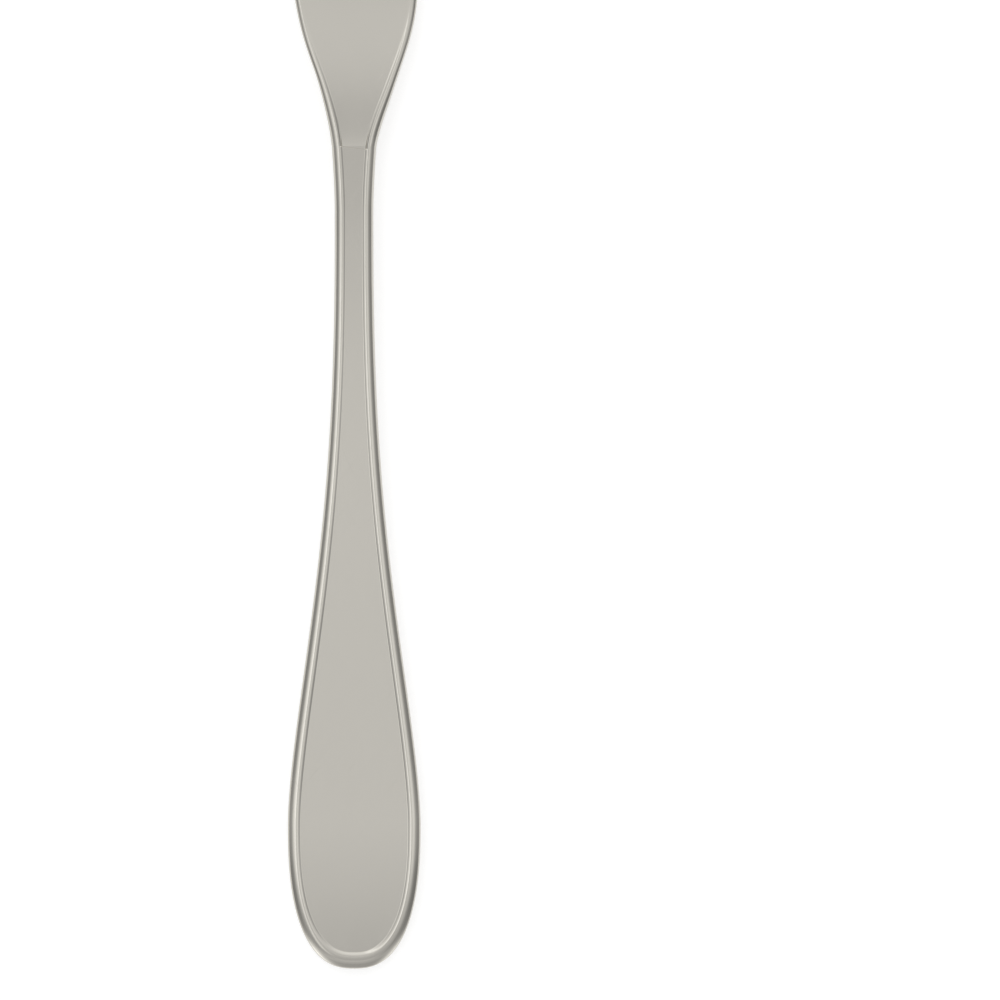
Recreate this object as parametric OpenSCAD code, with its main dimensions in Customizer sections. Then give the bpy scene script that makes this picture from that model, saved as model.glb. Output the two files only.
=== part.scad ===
// Flat-handled butter knife, in millimetres.
// It lies on its back as on a table: +Y runs to the blade's tip, +X to the spine side and +Z up.
// The origin is on the handle's centreline, halfway along the knife, on the plane it rests on.

/* [Handle] */
// Length from the round end to the joint with the blade
handle_len = 88.8; // [75:0.1:105]
// Width across the widest part
paddle_w = 14.35; // [12:0.05:18]
// Distance from the round end to the widest part
paddle_from_end = 15.6; // [12:0.1:20]
// Width across the narrowest part of the shank
shank_w = 4.15; // [3.9:0.05:5]
// Distance from the joint to the narrowest part of the shank
shank_from_joint = 7; // [4:0.1:12]
// Width at the joint
neck_w = 4.8; // [4.4:0.05:6]
// Thickness over the rim at the widest part
paddle_t = 2.4; // [2:0.05:3]
// Thickness over the rim at the joint
neck_t = 3.3; // [3:0.05:4]
// How much the top falls from the widest part to the round end
end_fall = 0.25; // [0.05:0.05:0.5]

/* [Rim] */
// Width of the rim round the handle's end
end_rim_w = 1.8; // [1.4:0.05:2.2]
// Width of the rim along the widest part
paddle_rim_w = 1.35; // [1.1:0.05:1.8]
// Width of the rim along the shank and at the joint
shank_rim_w = 1.15; // [0.9:0.05:1.3]
// Depth of the panel below the rim's crest at the widest part
panel_depth = 0.13; // [0.06:0.01:0.3]
// Depth of the panel below the rim's crest in the shank
shank_depth = 0.11; // [0.06:0.01:0.24]
// Height over which the rim rounds down to the sides
rim_round_h = 0.5; // [0.4:0.05:1]
// Radius along the edges of the back
back_round = 0.6; // [0.3:0.05:0.8]

/* [Blade] */
// Length from the joint to the tip
blade_len = 81.2; // [65:0.1:100]
// Reach of the belly from the centreline
belly_reach = 8.8; // [7:0.1:12]
// Reach of the spine's hump from the centreline
spine_reach = 9.7; // [8:0.1:12]
// How far the top of the tip lies to the spine side of the centreline
tip_offset = 3.6; // [2:0.1:5]
// Height of the blade's face above the rest plane, past the shoulders
face_h = 2.2; // [2:0.05:2.6]
// How much the face falls from the shoulders to the tip
face_fall = 0.3; // [0.1:0.05:0.5]
// Height of the blade's back above the rest plane, past the shoulders
back_h = 0.5; // [0.3:0.05:0.7]
// How much the back rises from the shoulders to the tip
back_rise = 0.2; // [0.05:0.05:0.3]
// Length of the shoulders, over which the neck thins to the blade
shoulder_len = 22; // [16:0.5:30]
// Length along the blade over which the rim fades out
rim_run = 20; // [14:0.5:26]
// Depth of the blade's face below the rim's crest at the joint
face_depth = 0.25; // [0.1:0.01:0.4]
// Thickness of the spreading edge
edge_t = 0.6; // [0.4:0.05:0.8]
// Width over which the spreading edge is thinned
bevel_w = 3.2; // [2:0.1:4]

/* [Tang] */
// Length of the tang that the handle holds
tang_len = 16; // [10:0.5:22]
// Width of the tang
tang_w = 2; // [1.6:0.05:2.2]
// Thickness of the tang
tang_t = 1.5; // [1.2:0.05:1.7]
// Thickness of the solder round the tang
solder_t = 0.1; // [0.05:0.05:0.15]

/* [Hidden] */

// Places along the knife
total_len = handle_len + blade_len;
tip_y = total_len / 2;
joint_y = tip_y - blade_len;
end_y = joint_y - handle_len;
widest_y = end_y + paddle_from_end;
narrowest_y = joint_y - shank_from_joint;

// Powers that shape the handle's outline: round the end, up the swell, at the widest part and at the joint
end_power = 2.5;
swell_power = 2.64;
shoulder_power = 1.68;
flare_power = 1.6;

// Where the rim's crest lies, as a share of its width, and how fast it fades out along the blade
crest_share = 0.7;
rim_fade_power = 2.4;
// How late the rim widens on its way round the end
end_rim_power = 3;

// Rim of the blade's shoulders where the raised part has faded, and the plain margin inside it
edge_rim_w = 0.75;
thin_rim_w = 0.4;
margin_w = 0.4;
rim_narrow_len = 10;

// Shape of the rim's outer side: 1 for an oval that meets the wall smoothly, 0 for a curve that meets it
// at a corner
round_share = 0.2;

// The blade's edges are rounded over at most this share of their thickness, on each side
edge_round_share = 0.4;

// Distances from the joint to where the back leaves the rest plane and to where the bevel starts, and the
// length over which the bevel grows
flush_len = 10;
bevel_start = 15;
bevel_run = 18;

// Outline of the blade: shares of its length, and of the way from the neck out to the reach
belly_rise_shares = [[0.034, 0.07], [0.086, 0.232], [0.168, 0.56], [0.296, 0.81], [0.42, 0.965], [0.545, 1]];
spine_rise_shares = [[0.032, 0.09], [0.086, 0.29], [0.168, 0.565], [0.25, 0.62], [0.406, 0.595],
    [0.548, 0.645], [0.708, 0.76], [0.831, 0.91], [0.906, 1]];
// Powers that shape the outline from the widest places to the tip
belly_power = 2.4;
spine_power = 2.3;

// Steps of the smooth surfaces
round_steps = 4;
slope_steps = 4;
bevel_steps = 4;
flare_steps = 6;
swell_steps = 24;
end_steps = 14;
outline_steps = 4;
blade_steps = 48;

// Blends
function mix(a, b, t) = a + (b - a) * t;
function limit(t) = min(1, max(0, t));
function smooth(t) = let (u = limit(t)) u * u * (3 - 2 * u);

// Half the handle's width at y, between the joint and the widest part
function handle_half(y) = y > narrowest_y
    ? mix(shank_w, neck_w, pow((y - narrowest_y) / shank_from_joint, flare_power)) / 2
    : let (t = (narrowest_y - y) / (narrowest_y - widest_y))
        mix(paddle_w, shank_w, pow(1 - pow(t, swell_power), shoulder_power)) / 2;

// Height of the rim's crest at y
function crest_z(y) = y > joint_y
    ? face_z(y) + rim_z(y)
    : mix(paddle_t, neck_t, smooth((y - widest_y) / (joint_y - widest_y)))
        - end_fall * pow(limit((widest_y - y) / paddle_from_end), 2);

// Depth of the handle's panel below the crest at y
function panel_drop(y) = mix(panel_depth, shank_depth, smooth((y - widest_y) / (narrowest_y - widest_y)));

// How far the rim's crest stands above the face of the blade, and the face's own height
function rim_z(y) = face_depth * pow(limit(1 - (y - joint_y) / rim_run), rim_fade_power);
function face_z(y) = mix(neck_t, face_h, smooth((y - joint_y) / shoulder_len)) - rim_z(y)
    - face_fall * pow((y - joint_y) / blade_len, 2);

// Height of the back at y
function back_z(y) = back_h * smooth((y - joint_y - flush_len) / shoulder_len)
    + back_rise * pow(limit((y - joint_y) / blade_len), 2);

// A section's upper side, from the panel out to the wall: insets from the outline, shares of the panel's
// depth, and extra falls below the crest
function upper_side(rim_w, round_h, drop, inner_w) = [
    for (i = [0:bevel_steps - 1]) let (t = i / bevel_steps) [rim_w + inner_w * (1 - t), 1, drop * t * t],
    for (i = [0:slope_steps - 1]) let (t = i / slope_steps)
        [rim_w * mix(1, crest_share, t), 1 - sin(90 * t), drop],
    for (i = [0:round_steps]) let (
        a = 90 * (1 - i / round_steps),
        fall = mix(pow(cos(a), 2), 1 - sin(a), round_share)
    )
        [rim_w * crest_share * (1 - cos(a)), 0, drop + round_h * fall],
];

// A section's lower side, from the wall in to the middle: insets, and rises above the back
function lower_side(rim_w, round_r, drop, inner_w) = [
    for (i = [0:round_steps]) let (a = 90 * i / round_steps)
        [round_r * (1 - cos(a)), drop + round_r * (1 - sin(a))],
    for (i = [1:slope_steps + bevel_steps]) let (t = i / (slope_steps + bevel_steps))
        [mix(round_r, rim_w + inner_w, t), drop * (1 - t) * (1 - t)],
];

// A list turned end for end
function reversed(list) = [for (i = [1:len(list)]) list[len(list) - i]];

// A closed solid lofted through rings. Seen along the loft, each ring runs anticlockwise from the middle of
// its upper side: a quarter for the upper side, two for the lower one, and a quarter back to the middle.
// The first ring is capped flat. The last one is folded on itself, so that the solid closes in a line.
module lofted(rings) {
    count = len(rings[0]);
    half = count / 2;
    quarter = count / 4;
    last = len(rings) - 1;
    points = [
        for (i = [0:last - 1]) each rings[i],
        for (j = [0:half - 1]) rings[last][j],
    ];
    function at(i, j) = let (k = j % count)
        i * count + (i < last || k < half ? k : count - 1 - k);
    sides = [
        for (i = [0:last - 1], j = [0:count - 1]) each [
            [at(i, j), at(i, j + 1), at(i + 1, j + 1)],
            [at(i, j), at(i + 1, j + 1), at(i + 1, j)],
        ],
    ];
    cap = [
        for (k = [0:quarter - 2]) each [
            [k, half - 1 - k, half - 2 - k],
            [k, half - 2 - k, k + 1],
            [half + k, count - 1 - k, count - 2 - k],
            [half + k, count - 2 - k, half + k + 1],
        ],
        [0, count - 1, half],
        [0, half, half - 1],
    ];
    faces = [for (f = concat(sides, cap)) if (f[0] != f[1] && f[1] != f[2] && f[0] != f[2]) f];
    polyhedron(points = points, faces = faces, convexity = 6);
}

// The handle's right outline inset by d, at a row. A row is [y] between the joint and the widest part, and
// [y, angle] round the end.
function handle_at(row, d) = len(row) == 1
    ? [handle_half(row[0]) - d, row[0]]
    : [(paddle_w / 2 - d) * pow(cos(row[1]), 2 / end_power),
        widest_y - (paddle_from_end - d) * pow(sin(row[1]), 2 / end_power)];
function handle_rim(row) = len(row) == 1
    ? mix(paddle_rim_w, shank_rim_w, smooth((row[0] - widest_y) / (narrowest_y - widest_y)))
    : mix(paddle_rim_w, end_rim_w, pow(sin(row[1]), end_rim_power));
handle_rows = [
    for (i = [0:flare_steps - 1]) [mix(joint_y, narrowest_y, i / flare_steps)],
    for (i = [0:swell_steps - 1]) [mix(narrowest_y, widest_y, i / swell_steps)],
    for (i = [0:end_steps]) [widest_y, 90 * i / end_steps],
];
function handle_ring(row) = let (
    rim_w = handle_rim(row),
    upper = [for (s = upper_side(rim_w, rim_round_h, 0, margin_w))
        let (p = handle_at(row, s[0])) [p[0], p[1], crest_z(p[1]) - panel_drop(p[1]) * s[1] - s[2]]],
    lower = [for (s = lower_side(rim_w, back_round, 0, margin_w))
        let (p = handle_at(row, s[0])) [p[0], p[1], s[1]]],
    right = concat(upper, lower)
) concat(right, [for (p = reversed(right)) [-p[0], p[1], p[2]]]);

// Points along one side of the blade, from the joint to its widest place, before they are smoothed
function blade_corners(side) = let (
    reach = side < 0 ? belly_reach : spine_reach,
    rise = side < 0 ? belly_rise_shares : spine_rise_shares
) [
    [side * neck_w / 2, joint_y],
    for (s = rise) [side * mix(neck_w / 2, reach, s[1]), joint_y + blade_len * s[0]],
];
// A smooth curve between b and c, with a before them and d after
function curve(a, b, c, d, t) = (2 * b + (c - a) * t + (2 * a - 5 * b + 4 * c - d) * t * t
    + (3 * b - a - 3 * c + d) * t * t * t) / 2;
// One side of the blade: a smooth curve through its points, then an oval arc to the tip
function blade_side(side) = let (
    corners = blade_corners(side),
    last = len(corners) - 1,
    widest = corners[last],
    below = 2 * joint_y - corners[1][1],
    above = 2 * widest[1] - corners[last - 1][1],
    run = concat([[side * handle_half(below), below]], corners, [[corners[last - 1][0], above]]),
    tip_steps = blade_steps - last * outline_steps,
    oval_power = 2 / (side < 0 ? belly_power : spine_power)
) [
    for (i = [1:last], j = [0:outline_steps - 1])
        curve(run[i - 1], run[i], run[i + 1], run[i + 2], j / outline_steps),
    for (j = [0:tip_steps]) let (a = 90 * j / tip_steps)
        [mix(tip_offset, widest[0], pow(cos(a), oval_power)),
            mix(widest[1], tip_y, pow(sin(a), oval_power))],
];
belly_points = blade_side(-1);
spine_points = blade_side(1);

// The inward direction at point i of a side, which is square to the joint where the blade meets the handle
function inward(side, i) = let (
    own = side < 0 ? belly_points : spine_points,
    other = side < 0 ? spine_points : belly_points,
    after = i == blade_steps ? other[i - 1] : own[i + 1],
    before = own[max(0, i - 1)],
    along = (after - before) / norm(after - before),
    square = smooth((own[i][1] - joint_y) / shank_rim_w),
    raw = [-side * along[1], side * along[0] * square]
) raw / norm(raw);

// How far the edge is thinned at y: all along the belly, but only past the hump on the spine side
function bevel_share(side, y) = side < 0
    ? smooth((y - joint_y - bevel_start) / bevel_run)
    : smooth((y - hump_y) / (tip_y - hump_y));
hump_y = joint_y + blade_len * spine_rise_shares[len(spine_rise_shares) - 1][0];

function blade_half_ring(side, i) = let (
    points = side < 0 ? belly_points : spine_points,
    edge = points[i],
    normal = inward(side, i),
    y = edge[1],
    share = bevel_share(side, y),
    full_t = face_z(y) - back_z(y),
    drop = (full_t - mix(full_t, edge_t, share)) / 2,
    rim_w = mix(mix(shank_rim_w, edge_rim_w, smooth((y - joint_y) / rim_narrow_len)), thin_rim_w, share),
    most_round = edge_round_share * (full_t - 2 * drop),
    round_h = min(most_round, rim_round_h * rim_w / shank_rim_w),
    round_r = mix(back_round, most_round, smooth((y - joint_y) / shoulder_len)),
    inner_w = mix(margin_w, bevel_w, smooth((y - joint_y) / bevel_start)),
    upper = [for (s = upper_side(rim_w, round_h, drop, inner_w))
        let (p = edge + normal * s[0]) [p[0], p[1], crest_z(p[1]) - rim_z(p[1]) * s[1] - s[2]]],
    lower = [for (s = lower_side(rim_w, round_r, drop, inner_w))
        let (p = edge + normal * s[0]) [p[0], p[1], back_z(p[1]) + s[1]]]
) concat(upper, lower);
function blade_ring(i) = concat(blade_half_ring(-1, i), reversed(blade_half_ring(1, i)));

// Bar along the centreline below the joint, at mid thickness. It serves as the tang, as the solder round it
// and as the socket that takes both.
module tang_bar(extra, overrun = 0) {
    bar_w = tang_w + 2 * extra;
    bar_t = tang_t + 2 * extra;
    translate([-bar_w / 2, joint_y - tang_len - extra, (neck_t - bar_t) / 2])
        cube([bar_w, tang_len + extra + overrun, bar_t]);
}

module handle() {
    color("silver") difference() {
        lofted([for (row = handle_rows) handle_ring(row)]);
        tang_bar(solder_t, overrun = tang_w);
    }
}

module blade() {
    color("gainsboro") union() {
        lofted([for (i = [0:blade_steps]) blade_ring(i)]);
        tang_bar(0, overrun = tang_w);
    }
}

module solder_sleeve() {
    color("lightgray") difference() {
        tang_bar(solder_t);
        tang_bar(0, overrun = tang_w);
    }
}

handle();
blade();
solder_sleeve();
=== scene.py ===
"""A flat-handled butter knife in polished stainless steel, lying on a white table with its border up."""

import math

import bmesh
import bpy
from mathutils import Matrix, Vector


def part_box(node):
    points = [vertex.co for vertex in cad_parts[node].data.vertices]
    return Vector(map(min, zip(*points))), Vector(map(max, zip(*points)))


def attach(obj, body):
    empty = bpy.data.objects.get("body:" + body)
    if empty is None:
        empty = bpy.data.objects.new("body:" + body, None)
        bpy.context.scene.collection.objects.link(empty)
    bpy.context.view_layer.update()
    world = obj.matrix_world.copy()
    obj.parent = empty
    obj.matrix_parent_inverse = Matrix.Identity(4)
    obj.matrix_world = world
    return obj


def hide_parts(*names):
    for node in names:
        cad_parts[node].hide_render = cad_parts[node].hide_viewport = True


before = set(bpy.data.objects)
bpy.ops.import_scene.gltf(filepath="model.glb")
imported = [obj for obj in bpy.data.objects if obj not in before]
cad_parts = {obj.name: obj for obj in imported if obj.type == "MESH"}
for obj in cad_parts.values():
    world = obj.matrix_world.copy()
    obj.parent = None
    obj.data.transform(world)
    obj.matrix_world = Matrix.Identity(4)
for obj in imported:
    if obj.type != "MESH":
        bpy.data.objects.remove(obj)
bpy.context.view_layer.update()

MM = 0.001
handle_low, handle_high = [[c / MM for c in corner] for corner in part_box("handle")]
blade_low, blade_high = [[c / MM for c in corner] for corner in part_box("blade")]

# All sizes of the knife are in millimetres. These come from the boxes of its solids, and the others
# repeat the part's source.
end_y, joint_y, tip_y = handle_low[1], handle_high[1], blade_high[1]
blade_len = tip_y - joint_y
paddle_w = handle_high[0] - handle_low[0]
neck_t = handle_high[2]
belly_reach, spine_reach = -blade_low[0], blade_high[0]
tang_len = joint_y - blade_low[1]

# Handle: where it is widest and narrowest, its widths and thickness, and the powers of its curves
paddle_from_end = 15.6
shank_w = 4.15
shank_from_joint = 7
neck_w = 4.8
paddle_t = 2.4
end_fall = 0.25
widest_y = end_y + paddle_from_end
narrowest_y = joint_y - shank_from_joint
end_power = 2.5
swell_power = 2.64
shoulder_power = 1.68
flare_power = 1.6

# Border of the handle: its widths, its height over the panel, how it rounds over, and the margin inside
end_rim_w = 1.8
paddle_rim_w = 1.35
shank_rim_w = 1.15
panel_depth = 0.13
shank_depth = 0.11
rim_round_h = 0.5
back_round = 0.6
crest_share = 0.7
round_share = 0.2
end_rim_power = 3
margin_w = 0.4

# Blade: the heights of its face and back, how its border narrows and fades, and how its edges thin
tip_offset = 3.6
face_h = 2.2
face_fall = 0.3
back_h = 0.5
back_rise = 0.2
shoulder_len = 22
rim_run = 20
face_depth = 0.25
edge_t = 0.6
bevel_w = 3.2
edge_rim_w = 0.75
thin_rim_w = 0.4
rim_narrow_len = 10
rim_fade_power = 2.4
edge_round_share = 0.4
flush_len = 10
bevel_start = 15
bevel_run = 18

# The blade's two sides: how far up the blade, and how far out from the neck to the widest place
belly_rise_shares = [(0.034, 0.07), (0.086, 0.232), (0.168, 0.56), (0.296, 0.81), (0.42, 0.965), (0.545, 1)]
spine_rise_shares = [
    (0.032, 0.09), (0.086, 0.29), (0.168, 0.565), (0.25, 0.62), (0.406, 0.595),
    (0.548, 0.645), (0.708, 0.76), (0.831, 0.91), (0.906, 1),
]
belly_power = 2.4
spine_power = 2.3
hump_y = joint_y + blade_len * spine_rise_shares[-1][0]

# Tang, the solder round it, and how far the bar that makes the tang or socket runs on past the joint
tang_w = 2
tang_t = 1.5
solder_t = 0.1
bar_overrun = 1

# The crease where the handle's panel steps down to the blade: its width, its least distance from the
# joint as a share of that width, how far it leans across the neck, and the zone of close rows round it
crease_w = 0.07
crease_gap_share = 0.25
crease_stray = 0.3
crease_zone = 0.7

# Steps of the fine meshes
SLOPE_STEPS = 12
ROUND_STEPS = 14
BEVEL_STEPS = 10
BACK_STEPS = 8
PANEL_STEPS = 24
CREASE_ROWS = 48
FLARE_ROWS = 16
SWELL_ROWS = 110
END_ROWS = 72
OUTLINE_STEPS = 20
BLADE_STEPS = 240
OUTLINE_PASSES = 16

# Points nearer than this, in metres, are one. Edges that turn by more than this, in degrees, are sharp.
WELD_M = 1e-7
SHARP_ANGLE = 50


def mix(a, b, t):
    return a + (b - a) * t


def limit(t):
    return min(1, max(0, t))


def smooth(t):
    """From 0 to 1 with a soft start and end."""
    u = limit(t)
    return u * u * (3 - 2 * u)


def quarter(t):
    """The angle at this share of a quarter turn."""
    return math.radians(90 * t)


def oval(angle, power):
    """A point of an oval's quarter: its share of the reach outwards and of the reach along."""
    return max(0, math.cos(angle)) ** (2 / power), math.sin(angle) ** (2 / power)


def across(a, b, steps):
    """Points strictly between a and b."""
    return [a.lerp(b, i / steps) for i in range(1, steps)]


def handle_half(y):
    """Half the handle's width, from the widest place to the joint."""
    if y > narrowest_y:
        return mix(shank_w, neck_w, ((y - narrowest_y) / shank_from_joint) ** flare_power) / 2
    t = limit((narrowest_y - y) / (narrowest_y - widest_y))
    return mix(paddle_w, shank_w, (1 - t**swell_power) ** shoulder_power) / 2


def handle_crest(y):
    """Height of the border's crest along the handle."""
    rise = mix(paddle_t, neck_t, smooth((y - widest_y) / (joint_y - widest_y)))
    return rise - end_fall * limit((widest_y - y) / paddle_from_end) ** 2


def panel_drop(x, y):
    """Depth of the panel below the crest, which steps down at the crease just short of the joint."""
    depth = mix(panel_depth, shank_depth, smooth((y - widest_y) / (narrowest_y - widest_y)))
    lean = crease_stray * smooth(0.5 + x / (shank_w - shank_rim_w))
    crease_y = joint_y - lean - crease_w * crease_gap_share
    return mix(depth, face_depth, smooth((y - crease_y + crease_w) / crease_w))


def rim_z(y):
    """Height of the blade's border over its face."""
    return face_depth * limit(1 - (y - joint_y) / rim_run) ** rim_fade_power


def face_z(y):
    """Height of the blade's face."""
    fall = mix(neck_t, face_h, smooth((y - joint_y) / shoulder_len))
    return fall - rim_z(y) - face_fall * ((y - joint_y) / blade_len) ** 2


def back_z(y):
    """Height of the blade's back."""
    lift = back_h * smooth((y - joint_y - flush_len) / shoulder_len)
    return lift + back_rise * limit((y - joint_y) / blade_len) ** 2


def upper_side(rim_w, round_h, inner_w, bevel):
    """Upper profile, from the panel out to the wall: inset, share of the panel's depth, and extra fall."""
    side = []
    for i in range(BEVEL_STEPS):
        t = i / BEVEL_STEPS
        side.append((rim_w + inner_w * (1 - t), 1, bevel * t * t))
    for i in range(SLOPE_STEPS):
        t = i / SLOPE_STEPS
        side.append((rim_w * mix(1, crest_share, t), 1 - math.sin(quarter(t)), bevel))
    for i in range(ROUND_STEPS + 1):
        a = quarter(1 - i / ROUND_STEPS)
        fall = mix(math.cos(a) ** 2, 1 - math.sin(a), round_share)
        side.append((rim_w * crest_share * (1 - math.cos(a)), 0, bevel + round_h * fall))
    return side


def lower_side(round_r, width, bevel):
    """Lower profile, from the wall in to the middle of the back: inset and rise."""
    side = []
    for i in range(BACK_STEPS + 1):
        a = quarter(i / BACK_STEPS)
        side.append((round_r * (1 - math.cos(a)), bevel + round_r * (1 - math.sin(a))))
    for i in range(1, BACK_STEPS + 1):
        t = i / BACK_STEPS
        side.append((mix(round_r, width, t), bevel * (1 - t) ** 2))
    return side


def handle_rows():
    """Rows from the joint to the round end: (y, None) on the straight part, (y, angle) round the end."""
    crease_y = joint_y - crease_zone
    rows = [(mix(joint_y, crease_y, i / CREASE_ROWS), None) for i in range(CREASE_ROWS)]
    rows += [(mix(crease_y, narrowest_y, i / FLARE_ROWS), None) for i in range(FLARE_ROWS)]
    rows += [(mix(narrowest_y, widest_y, i / SWELL_ROWS), None) for i in range(SWELL_ROWS)]
    rows += [(widest_y, quarter(i / END_ROWS)) for i in range(END_ROWS + 1)]
    return rows


def handle_at(row, inset):
    """The row's x and y at this inset from the outline, on the right side."""
    y, angle = row
    if angle is None:
        return handle_half(y) - inset, y
    out, along = oval(angle, end_power)
    return (paddle_w / 2 - inset) * out, widest_y - (paddle_from_end - inset) * along


def handle_rim(row):
    """Width of the border in a row."""
    y, angle = row
    if angle is None:
        return mix(paddle_rim_w, shank_rim_w, smooth((y - widest_y) / (narrowest_y - widest_y)))
    return mix(paddle_rim_w, end_rim_w, math.sin(angle) ** end_rim_power)


def handle_ring(row):
    """The closed section of the handle in a row."""
    rim_w = handle_rim(row)

    def top(x, y, share, fall):
        return Vector((x, y, handle_crest(y) - share * panel_drop(x, y) - fall))

    def half(side):
        upper, lower = [], []
        for inset, share, fall in upper_side(rim_w, rim_round_h, margin_w, 0):
            x, y = handle_at(row, inset)
            upper.append(top(side * x, y, share, fall))
        for inset, rise in lower_side(back_round, rim_w + margin_w, 0):
            x, y = handle_at(row, inset)
            lower.append(Vector((side * x, y, rise)))
        return upper, lower

    upper, lower = half(1)
    left_upper, left_lower = half(-1)
    panel = [top(p.x, p.y, 1, 0) for p in across(left_upper[0], upper[0], PANEL_STEPS)]
    back = across(lower[-1], left_lower[-1], PANEL_STEPS)
    return upper + lower + back + left_lower[::-1] + left_upper[::-1] + panel


def blade_corners(side):
    """The points that one side of the blade passes through, from the joint to its widest place."""
    reach, rise = (belly_reach, belly_rise_shares) if side < 0 else (spine_reach, spine_rise_shares)
    corners = [(side * neck_w / 2, joint_y)]
    corners += [(side * mix(neck_w / 2, reach, out), joint_y + blade_len * up) for up, out in rise]
    return [Vector(c) for c in corners]


def curve(a, b, c, d, t):
    """A point on the smooth curve from b to c, with a before them and d after."""
    return (2 * b + (c - a) * t + (2 * a - 5 * b + 4 * c - d) * t * t + (3 * b - a - 3 * c + d) * t**3) / 2


def blade_side(side):
    """One side of the blade: a smooth curve through its points, then an oval arc to the tip. The curve
    starts in line with the handle, and comes to its widest place straight along the blade."""
    corners = blade_corners(side)
    widest = corners[-1]
    below = 2 * joint_y - corners[1].y
    above = 2 * widest.y - corners[-2].y
    run = [Vector((side * handle_half(below), below))] + corners + [Vector((corners[-2].x, above))]
    points = []
    for i in range(1, len(corners)):
        points += [curve(*run[i - 1 : i + 3], j / OUTLINE_STEPS) for j in range(OUTLINE_STEPS)]
    tip_steps = BLADE_STEPS - len(points)
    for j in range(tip_steps + 1):
        out, up = oval(quarter(j / tip_steps), belly_power if side < 0 else spine_power)
        points.append(Vector((mix(tip_offset, widest.x, out), mix(widest.y, tip_y, up))))
    return points


def blade_outline():
    """The blade's outline from the joint up the belly, round the tip and down the spine to the joint."""
    points = blade_side(-1) + blade_side(1)[-2::-1]
    for _ in range(OUTLINE_PASSES):
        inner = [(points[i - 1] + 2 * points[i] + points[i + 1]) / 4 for i in range(1, len(points) - 1)]
        points = [points[0]] + inner + [points[-1]]
    return points


def blade_profiles(y, side):
    """The upper and lower profile of the blade's edge at y, thinned on the belly and at the tip."""
    if side < 0:
        thin = smooth((y - joint_y - bevel_start) / bevel_run)
    else:
        thin = smooth((y - hump_y) / (tip_y - hump_y))
    full_t = face_z(y) - back_z(y)
    bevel = (full_t - mix(full_t, edge_t, thin)) / 2
    rim_w = mix(mix(shank_rim_w, edge_rim_w, smooth((y - joint_y) / rim_narrow_len)), thin_rim_w, thin)
    most_round = edge_round_share * (full_t - 2 * bevel)
    round_h = min(most_round, rim_round_h * rim_w / shank_rim_w)
    round_r = mix(back_round, most_round, smooth((y - joint_y) / shoulder_len))
    inner_w = mix(margin_w, bevel_w, smooth((y - joint_y) / bevel_start))
    return upper_side(rim_w, round_h, inner_w, bevel), lower_side(round_r, rim_w + inner_w, bevel)


def blade_half(points, i, side):
    """The points of the blade's section inwards from point i of its outline, on the face and the back."""
    before, after = points[max(0, i - 1)], points[min(len(points) - 1, i + 1)]
    along = (after - before).normalized()
    edge = points[i]
    # The section lies straight across at the joint, and square to the outline past it
    square = smooth((edge.y - joint_y) / shank_rim_w)
    normal = Vector((along.y, -along.x * square)).normalized()
    upper_profile, lower_profile = blade_profiles(edge.y, side)
    upper, lower = [], []
    for inset, share, fall in upper_profile:
        p = edge + normal * inset
        upper.append(Vector((p.x, p.y, face_z(p.y) + rim_z(p.y) * (1 - share) - fall)))
    for inset, rise in lower_profile:
        p = edge + normal * inset
        lower.append(Vector((p.x, p.y, back_z(p.y) + rise)))
    return upper, lower


def blade_rings():
    """The closed sections of the blade, from the joint to the tip."""
    points = blade_outline()
    rings = []
    for i in range(BLADE_STEPS + 1):
        left_upper, left_lower = blade_half(points, i, -1)
        upper, lower = blade_half(points, len(points) - 1 - i, 1)
        panel = [Vector((p.x, p.y, face_z(p.y))) for p in across(upper[0], left_upper[0], PANEL_STEPS)]
        back = [Vector((p.x, p.y, back_z(p.y))) for p in across(left_lower[-1], lower[-1], PANEL_STEPS)]
        rings.append(left_upper + left_lower + back + lower[::-1] + upper[::-1] + panel)
    return rings


def placed(name, data):
    """A new object in the scene."""
    item = bpy.data.objects.new(name, data)
    bpy.context.scene.collection.objects.link(item)
    return item


def placed_mesh(name, bm):
    """A new mesh object in the scene, from a bmesh that is then freed."""
    mesh = bpy.data.meshes.new(name)
    bm.to_mesh(mesh)
    bm.free()
    return placed(name, mesh)


def lofted(name, rings):
    """A closed mesh through the rings. The first is capped flat, and the last closes on itself."""
    bm = bmesh.new()
    count = len(rings[0])
    grid = [[bm.verts.new(p * MM) for p in ring] for ring in rings]
    for a, b in zip(grid, grid[1:]):
        for j in range(count):
            k = (j + 1) % count
            bm.faces.new((a[j], a[k], b[k], b[j]))
    bm.faces.new(grid[0][::-1])
    bmesh.ops.remove_doubles(bm, verts=bm.verts, dist=WELD_M)
    bmesh.ops.recalc_face_normals(bm, faces=bm.faces)
    return placed_mesh(name, bm)


def tang_bar(extra):
    """A bar along the neck's middle: the tang, or the socket that is wider by the solder's thickness."""
    low = Vector((-tang_w / 2 - extra, joint_y - tang_len - extra, (neck_t - tang_t) / 2 - extra))
    high = Vector((tang_w / 2 + extra, joint_y + bar_overrun, (neck_t + tang_t) / 2 + extra))
    bm = bmesh.new()
    bmesh.ops.create_cube(bm, size=1)
    for v in bm.verts:
        v.co = Vector([mix(a, b, c + 0.5) for a, b, c in zip(low, high, v.co)]) * MM
    return placed_mesh("bar", bm)


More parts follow.
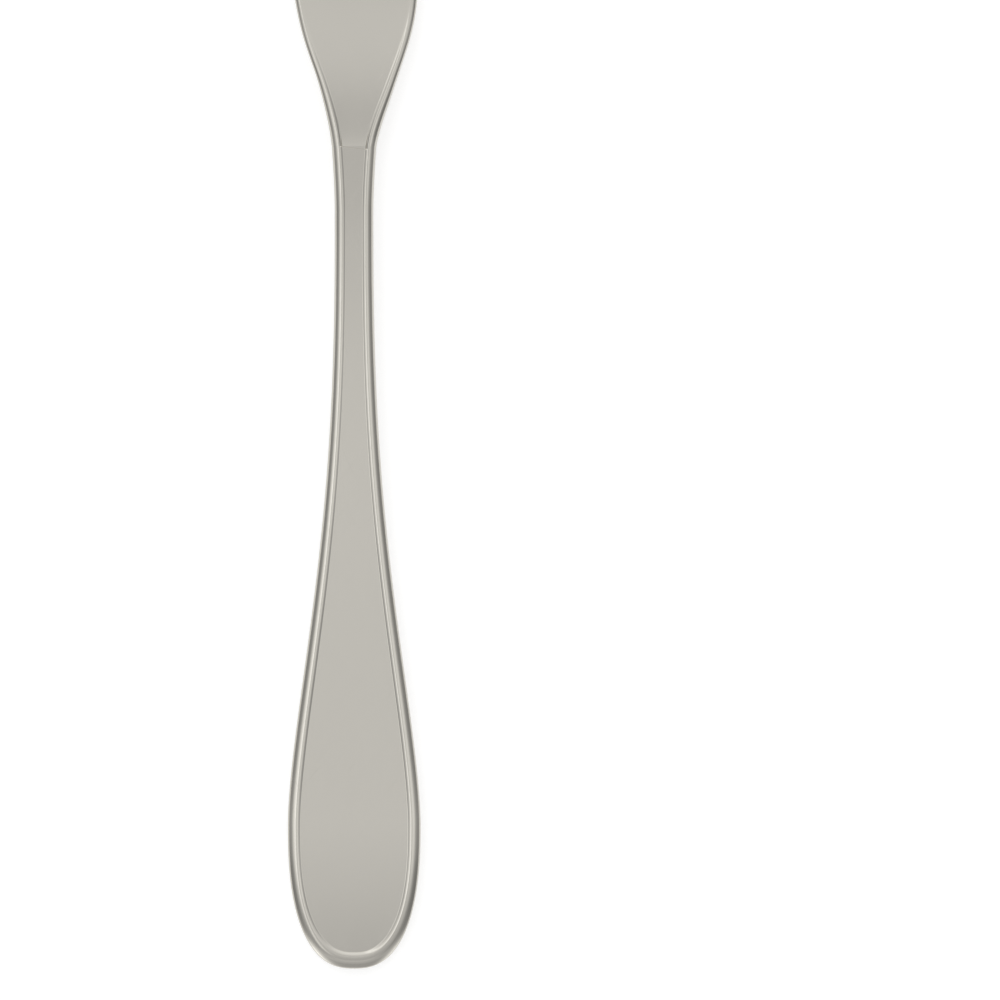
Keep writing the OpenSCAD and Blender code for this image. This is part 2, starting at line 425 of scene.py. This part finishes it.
def combine(piece, bar, operation):
    """Joins the bar to the piece or cuts it out, and puts the result in the piece's mesh."""
    change = piece.modifiers.new("bar", "BOOLEAN")
    change.operation = operation
    change.object = bar
    change.solver = "EXACT"
    graph = bpy.context.evaluated_depsgraph_get()
    mesh = bpy.data.meshes.new_from_object(piece.evaluated_get(graph))
    piece.modifiers.clear()
    piece.data = mesh
    bpy.data.objects.remove(bar)
    mesh.shade_smooth()
    mesh.set_sharp_from_angle(angle=math.radians(SHARP_ANGLE))


# Steel: its colours, and its roughness
STEEL_DARK = (0.57, 0.549, 0.5, 1)
STEEL_LIGHT = (0.59, 0.569, 0.518, 1)
STEEL_ROUGHNESS = 0.1
# Slow changes, polishing lines and scratches: their sizes in millimetres along each axis, the range of
# the noise that shows, and what they add to the roughness. Each scratch is also turned, in degrees.
CLOUD_SIZE = (9, 14, 9)
CLOUD_DETAIL = 2
CLOUD_RANGE = (0.3, 0.7)
CLOUD_ROUGHNESS = 0.02
LINE_SIZE = (0.05, 6, 0.05)
LINE_DETAIL = 3
LINE_RANGE = (0.35, 0.75)
LINE_ROUGHNESS = 0.05
SCRATCHES = [((0.07, 6, 0.5), 24), ((0.06, 4, 0.5), -38)]
SCRATCH_DETAIL = 1
SCRATCH_RANGE = (0.7, 0.78)
SCRATCH_ROUGHNESS = 0.12
# Relief: the scratches' depth as a share of the lines' height, and the height in millimetres
SCRATCH_DEPTH = 0.4
BUMP_STRENGTH = 0.2
BUMP_MM = 0.01

# Solder: its colours, its roughness, and the size of its grains in millimetres
SOLDER_DARK = (0.5, 0.5, 0.49, 1)
SOLDER_LIGHT = (0.62, 0.62, 0.61, 1)
SOLDER_ROUGHNESS = 0.45
GRAIN_MM = 0.4


def grey(level):
    return (level, level, level, 1)


def link(tree, a, b):
    tree.links.new(a, b)


def math_node(tree, operation, *values):
    """A Math node on these values, each of them a socket or a number."""
    node = tree.nodes.new("ShaderNodeMath")
    node.operation = operation
    for value, socket in zip(values, node.inputs):
        if isinstance(value, (int, float)):
            socket.default_value = value
        else:
            link(tree, value, socket)
    return node.outputs["Value"]


def metal(name):
    """A new metal: its material, node tree and shader, and the socket that gives the place on the object."""
    material = bpy.data.materials.new(name)
    material.use_nodes = True
    tree = material.node_tree
    shader = tree.nodes["Principled BSDF"]
    shader.inputs["Metallic"].default_value = 1
    place = tree.nodes.new("ShaderNodeTexCoord").outputs["Object"]
    return material, tree, shader, place


def tint(tree, shader, value, dark, light):
    """Gives the shader a colour that goes from dark to light with the value."""
    node = tree.nodes.new("ShaderNodeMix")
    node.data_type = "RGBA"
    node.inputs["A"].default_value = dark
    node.inputs["B"].default_value = light
    link(tree, value, node.inputs["Factor"])
    link(tree, node.outputs["Result"], shader.inputs["Base Color"])


def steel(name):
    """Polished steel: a warm grey metal with fine polishing lines, a few hairline scratches from use and
    slow changes in the polish."""
    material, tree, shader, place = metal(name)

    def noise(size_mm, detail, turn=0):
        """Noise with blobs about this many millimetres long on each axis, turned by this many degrees."""
        mapping = tree.nodes.new("ShaderNodeMapping")
        mapping.vector_type = "TEXTURE"
        mapping.inputs["Rotation"].default_value = (0, 0, math.radians(turn))
        mapping.inputs["Scale"].default_value = [s * MM for s in size_mm]
        link(tree, place, mapping.inputs["Vector"])
        node = tree.nodes.new("ShaderNodeTexNoise")
        node.inputs["Scale"].default_value = 1
        node.inputs["Detail"].default_value = detail
        link(tree, mapping.outputs["Vector"], node.inputs["Vector"])
        return node.outputs["Fac"]

    def ramp(value, span, levels=(0, 1)):
        """The value's span, stretched over these levels."""
        node = tree.nodes.new("ShaderNodeMapRange")
        node.inputs["From Min"].default_value, node.inputs["From Max"].default_value = span
        node.inputs["To Min"].default_value, node.inputs["To Max"].default_value = levels
        link(tree, value, node.inputs["Value"])
        return node.outputs["Result"]

    def added(a, b):
        return math_node(tree, "ADD", a, b)

    clouds = noise(CLOUD_SIZE, CLOUD_DETAIL)
    lines = noise(LINE_SIZE, LINE_DETAIL)
    scratches = added(*[ramp(noise(size, SCRATCH_DETAIL, turn), SCRATCH_RANGE) for size, turn in SCRATCHES])
    tint(tree, shader, clouds, STEEL_DARK, STEEL_LIGHT)

    roughness_span = (STEEL_ROUGHNESS - CLOUD_ROUGHNESS, STEEL_ROUGHNESS + CLOUD_ROUGHNESS)
    polish = ramp(clouds, CLOUD_RANGE, roughness_span)
    polish = added(polish, ramp(lines, LINE_RANGE, (0, LINE_ROUGHNESS)))
    polish = added(polish, ramp(scratches, (0, 1), (0, SCRATCH_ROUGHNESS)))
    link(tree, polish, shader.inputs["Roughness"])

    bump = tree.nodes.new("ShaderNodeBump")
    bump.inputs["Strength"].default_value = BUMP_STRENGTH
    bump.inputs["Distance"].default_value = BUMP_MM * MM
    link(tree, added(lines, ramp(scratches, (0, 1), (0, -SCRATCH_DEPTH))), bump.inputs["Height"])
    link(tree, bump.outputs["Normal"], shader.inputs["Normal"])
    return material


def solder():
    """Dull tin, with grains a fraction of a millimetre across."""
    material, tree, shader, place = metal("solder")
    shader.inputs["Roughness"].default_value = SOLDER_ROUGHNESS
    grains = tree.nodes.new("ShaderNodeTexNoise")
    grains.inputs["Scale"].default_value = 1 / (GRAIN_MM * MM)
    link(tree, place, grains.inputs["Vector"])
    tint(tree, shader, grains.outputs["Fac"], SOLDER_DARK, SOLDER_LIGHT)
    return material


def make_knife():
    handle = lofted("handle_shell", [handle_ring(row) for row in handle_rows()])
    combine(handle, tang_bar(solder_t), "DIFFERENCE")
    handle.data.materials.append(steel("handle_steel"))
    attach(handle, "root")
    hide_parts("handle")

    blade = lofted("blade_shell", blade_rings())
    combine(blade, tang_bar(0), "UNION")
    blade.data.materials.append(steel("blade_steel"))
    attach(blade, "root")
    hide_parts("blade")

    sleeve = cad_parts["solder_sleeve"]
    sleeve.data.materials.clear()
    sleeve.data.materials.append(solder())


# Photograph: the handle's centreline and round end in its 1000-pixel frame, and its scale
FRAME_PX = 1000
AXIS_PX = 354.3
END_PX = 968.3
MM_PER_PX = 0.10814
LENS_MM = 200
SENSOR_MM = 36
# The nearest and the farthest that the camera sees, in metres
CLIP_START_M = 0.01
CLIP_END_M = 10


def make_camera():
    """A camera straight above the knife, which frames it as the photograph does."""
    data = bpy.data.cameras.new("camera")
    data.lens = LENS_MM
    data.sensor_width = SENSOR_MM
    data.clip_start = CLIP_START_M
    data.clip_end = CLIP_END_M
    camera = placed("camera", data)
    bpy.context.scene.camera = camera
    x = (FRAME_PX / 2 - AXIS_PX) * MM_PER_PX
    y = end_y + (END_PX - FRAME_PX / 2) * MM_PER_PX
    distance = FRAME_PX * MM_PER_PX * LENS_MM / SENSOR_MM
    camera.location = Vector((x, y, paddle_t / 2 + distance)) * MM


# Table: how far it reaches each way in metres, its grey, and the white that it adds for camera, glossy
# and transmission rays
FLOOR_REACH_M = 3
FLOOR_GREY = 0.65
FLOOR_LIFT = 0.58


def make_floor():
    bm = bmesh.new()
    bmesh.ops.create_grid(bm, x_segments=1, y_segments=1, size=FLOOR_REACH_M)
    floor = placed_mesh("floor", bm)
    material = bpy.data.materials.new("white_table")
    material.use_nodes = True
    tree = material.node_tree
    nodes = tree.nodes
    nodes.clear()
    matt = nodes.new("ShaderNodeBsdfDiffuse")
    matt.inputs["Color"].default_value = grey(FLOOR_GREY)
    path = nodes.new("ShaderNodeLightPath").outputs
    seen = math_node(tree, "ADD", path["Is Camera Ray"], path["Is Glossy Ray"])
    seen = math_node(tree, "ADD", seen, path["Is Transmission Ray"])
    glow = nodes.new("ShaderNodeEmission")
    link(tree, math_node(tree, "MULTIPLY", seen, FLOOR_LIFT), glow.inputs["Strength"])
    both = nodes.new("ShaderNodeAddShader")
    link(tree, matt.outputs["BSDF"], both.inputs[0])
    link(tree, glow.outputs["Emission"], both.inputs[1])
    out = nodes.new("ShaderNodeOutputMaterial")
    link(tree, both.outputs["Shader"], out.inputs["Surface"])
    floor.data.materials.append(material)


# The studio dome: its brightness by angle from straight up, in degrees
DOME = [
    (0, 0.87), (7, 0.87), (13, 1.1), (27, 1.08), (44, 0.64), (60, 0.42), (76, 0.38), (84, 0.6),
]
# Its change from the round end, at -1, to the tip, at 1
ALONG = [
    (-1, 1.35), (-0.7, 1), (-0.42, 0.56), (-0.3, 0.6), (-0.15, 0.72), (-0.12, 0.84), (-0.1, 0.95),
    (-0.03, 1.08), (0.055, 0.83), (0.12, 0.83), (0.175, 0.83), (0.225, 0.81), (0.35, 0.92), (0.5, 1.1),
    (0.75, 1.6), (1, 2),
]
# Its change from the left, at -1, to the right, at 1
ASIDE = [
    (-1, 1.08), (-0.85, 1.15), (-0.68, 1.3), (-0.45, 1.12), (0, 1), (0.45, 0.95), (0.7, 0.98), (1, 1),
]
# Both changes are halved in their ramps, and this makes up for it
ROOM_STRENGTH = 4
# How much the four corners of the room brighten towards the horizon
CORNER_GAIN = 40
# The height of a direction, from 0 at the horizon to 1 straight up: the room is white below the first,
# and like the dome above the second
WHITE_BELOW = 0.09
DOME_ABOVE = 0.14


def make_world():
    world = bpy.data.worlds.new("studio")
    bpy.context.scene.world = world
    world.use_nodes = True
    tree = world.node_tree
    nodes = tree.nodes
    coords = nodes.new("ShaderNodeTexCoord")
    split = nodes.new("ShaderNodeSeparateXYZ")
    link(tree, coords.outputs["Generated"], split.inputs["Vector"])
    x, y, z = split.outputs

    def ramp(value, stops):
        node = nodes.new("ShaderNodeValToRGB")
        node.color_ramp.interpolation = "EASE"
        elements = node.color_ramp.elements
        # Each new stop starts in the middle, and is then moved to its place
        while len(elements) < len(stops):
            elements.new(0.5)
        for element, (place, level) in zip(elements, sorted(stops)):
            element.position = place
            element.color = grey(level)
        link(tree, value, node.inputs["Fac"])
        return node.outputs["Color"]

    def halved(direction, stops):
        """Half the change along a direction, because a ramp's places and levels run only from 0 to 1."""
        place = nodes.new("ShaderNodeMapRange")
        place.inputs["From Min"].default_value = -1
        link(tree, direction, place.inputs["Value"])
        return ramp(place.outputs["Result"], [((d + 1) / 2, level / 2) for d, level in stops])

    def times(a, b):
        node = nodes.new("ShaderNodeVectorMath")
        node.operation = "MULTIPLY"
        link(tree, a, node.inputs[0])
        link(tree, b, node.inputs[1])
        return node.outputs["Vector"]

    def product(a, b):
        return math_node(tree, "MULTIPLY", a, b)

    dome = ramp(z, [(math.cos(math.radians(angle)), level) for angle, level in DOME])
    along = halved(y, ALONG)
    aside = halved(x, ASIDE)
    corner = product(x, y)
    square = product(corner, corner)
    corners = math_node(tree, "MULTIPLY_ADD", product(square, square), CORNER_GAIN, 1)
    light = times(times(dome, along), times(aside, corners))

    height = nodes.new("ShaderNodeMapRange")
    height.interpolation_type = "SMOOTHSTEP"
    height.inputs["From Min"].default_value = WHITE_BELOW
    height.inputs["From Max"].default_value = DOME_ABOVE
    link(tree, z, height.inputs["Value"])
    room = nodes.new("ShaderNodeMix")
    room.data_type = "RGBA"
    room.inputs["A"].default_value = grey(1 / ROOM_STRENGTH)
    link(tree, height.outputs["Result"], room.inputs["Factor"])
    link(tree, light, room.inputs["B"])
    back = nodes["Background"]
    link(tree, room.outputs["Result"], back.inputs["Color"])
    back.inputs["Strength"].default_value = ROOM_STRENGTH


# Strip light: its width and length in metres, its power in watts, its lean to the left in degrees, and
# its distance from the origin and shift towards the round end in metres
STRIP_W_M = 0.16
STRIP_LEN_M = 0.9
STRIP_WATTS = 0.16
STRIP_LEAN = 16
STRIP_DISTANCE_M = 0.9
STRIP_SHIFT_M = 0.02


def make_lamp():
    """A long strip light just left of the camera, a little brighter than the dome."""
    data = bpy.data.lights.new("strip", "AREA")
    data.shape = "RECTANGLE"
    data.size = STRIP_W_M
    data.size_y = STRIP_LEN_M
    data.energy = STRIP_WATTS
    lamp = placed("strip", data)
    lean = math.radians(STRIP_LEAN)
    aside, up = STRIP_DISTANCE_M * math.sin(lean), STRIP_DISTANCE_M * math.cos(lean)
    lamp.location = (-aside, -STRIP_SHIFT_M, up)
    lamp.rotation_euler = (0, -lean, 0)


bpy.context.scene.view_settings.view_transform = "Standard"
make_camera()
make_knife()
make_floor()
make_world()
make_lamp()
